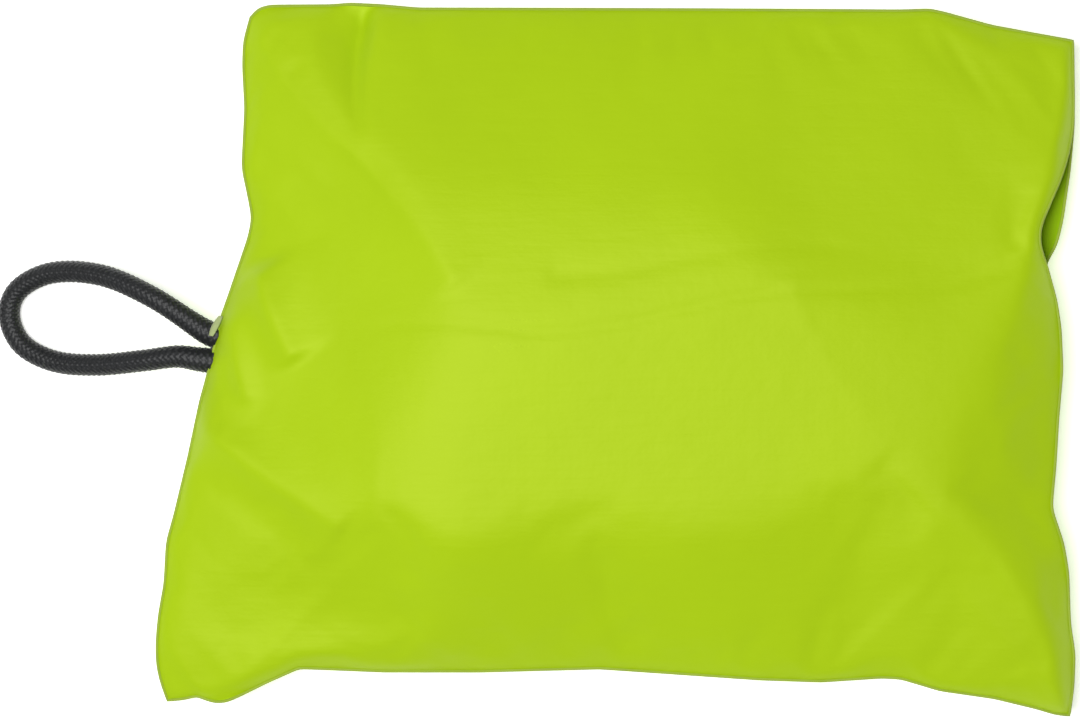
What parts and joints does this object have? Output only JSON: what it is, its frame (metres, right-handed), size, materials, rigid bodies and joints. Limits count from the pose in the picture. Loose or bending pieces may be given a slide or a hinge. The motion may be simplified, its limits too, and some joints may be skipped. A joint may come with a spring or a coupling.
{
  "type": "camp pillow",
  "caption": "Small stuffed camp pillow in a thin coated-fabric slip cover with a concealed side zip and a braided cord hang loop.",
  "frame": {"origin": "under the middle of the cover, on the surface that the back panel rests on", "axes": "+X along the pillow towards the zipped short side, +Y across it, +Z out of the front panel; the hang loop is on the -X side"},
  "size_m": [0.4086, 0.2716, 0.075],
  "materials": {
    "coated_nylon": "satin",
    "ticking": "matte",
    "fibre_fill": "matte",
    "zip_tape": "matte",
    "zip_coil": "satin",
    "zip_metal": "satin",
    "label": "matte",
    "braided_cord": "matte"
  },
  "bodies": {
    "pillow": {"front_panel": "coated_nylon", "back_panel": "coated_nylon", "loop_tab": "coated_nylon", "inner_bag_front": "ticking", "inner_bag_back": "ticking", "fill_block": "fibre_fill", "zip_tape_front": "zip_tape", "zip_tape_back": "zip_tape", "zip_coil_front": "zip_coil", "zip_coil_back": "zip_coil", "zip_top_stop": "zip_metal", "zip_bottom_stop": "zip_metal", "care_label": "label"},
    "slider": {"zip_slider": "zip_metal"},
    "puller": {"zip_puller": "zip_metal"},
    "loop": {"hang_loop": "braided_cord"}
  },
  "joints": [
    {"name": "zip_slide", "type": "slide", "parent": "pillow", "child": "slider", "axis": [0, 1, 0], "range_m": [0, 0.134]},
    {"name": "puller_hinge", "type": "hinge", "parent": "slider", "child": "puller", "pos_m": [0.1622, -0.0672, 0.033], "axis": [0, 0, -1], "range_deg": [0, 100]},
    {"name": "loop_hinge", "type": "hinge", "parent": "pillow", "child": "loop", "pos_m": [-0.1594, 0.00553, 0.033], "axis": [0.1199, 0.9928, 0], "range_deg": [-60, 100]}
  ]
}
